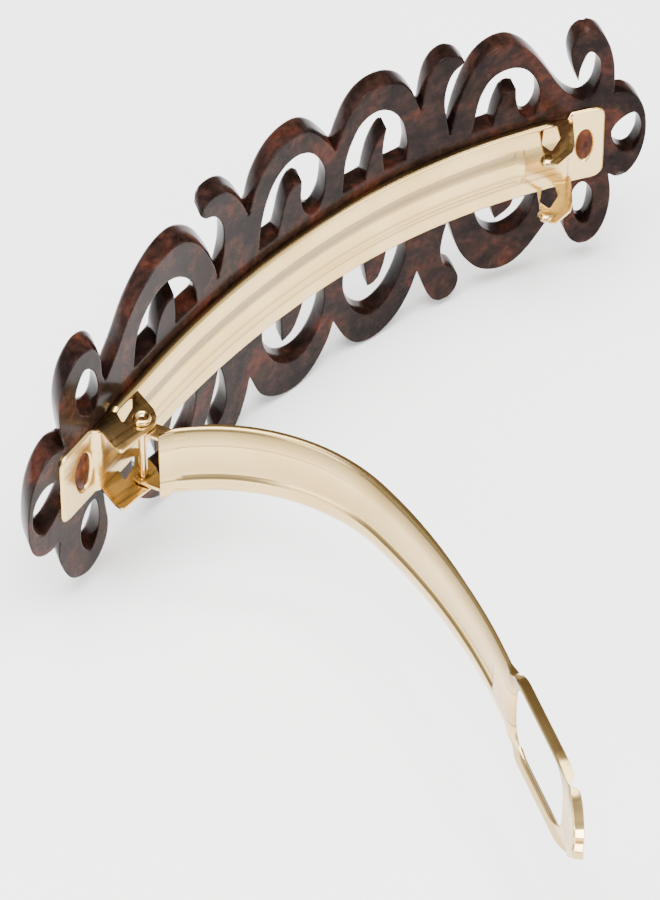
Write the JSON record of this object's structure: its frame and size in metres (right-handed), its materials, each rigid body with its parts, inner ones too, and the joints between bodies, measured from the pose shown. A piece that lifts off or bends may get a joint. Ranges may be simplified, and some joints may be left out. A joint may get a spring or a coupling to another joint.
{
  "type": "hair barrette",
  "caption": "Bowed openwork scroll plate in dark tortoiseshell plastic on a hinged gold French clip, its spring arm swung open with a loop that hooks over the catch ears.",
  "frame": {"origin": "centre of the bounding box in plan, at its lowest point, with the clip open as it is at rest", "axes": "+X along the clip from the hinge to the catch, +Y out of the plate's show side, +Z across the plate's width"},
  "size_m": [0.0992, 0.0902, 0.0402],
  "materials": {
    "tortoiseshell": "polished dark tortoiseshell acetate",
    "stake": "heat-staked acetate",
    "gold_metal": "pale gold plated spring steel"
  },
  "bodies": {
    "clip": {"scroll_plate": "tortoiseshell", "stake_hinge": "stake", "stake_catch": "stake", "base_plate": "gold_metal", "hinge_pin": "gold_metal"},
    "arm": {"arm_hinge_half": "gold_metal"},
    "arm_end": {"arm_loop_half": "gold_metal"}
  },
  "joints": [
    {"name": "arm_hinge", "type": "hinge", "parent": "clip", "child": "arm", "pos_m": [-0.03206, 0.03182, 0.01945], "axis": [0, 0, 1], "range_deg": [-6, 74]},
    {"name": "arm_flex", "type": "hinge", "parent": "arm", "child": "arm_end", "pos_m": [-0.02039, 0.00572, 0.01945], "axis": [0, 0, 1], "range_deg": [0, 26], "stiffness_Nm_per_rad": 0.05}
  ]
}
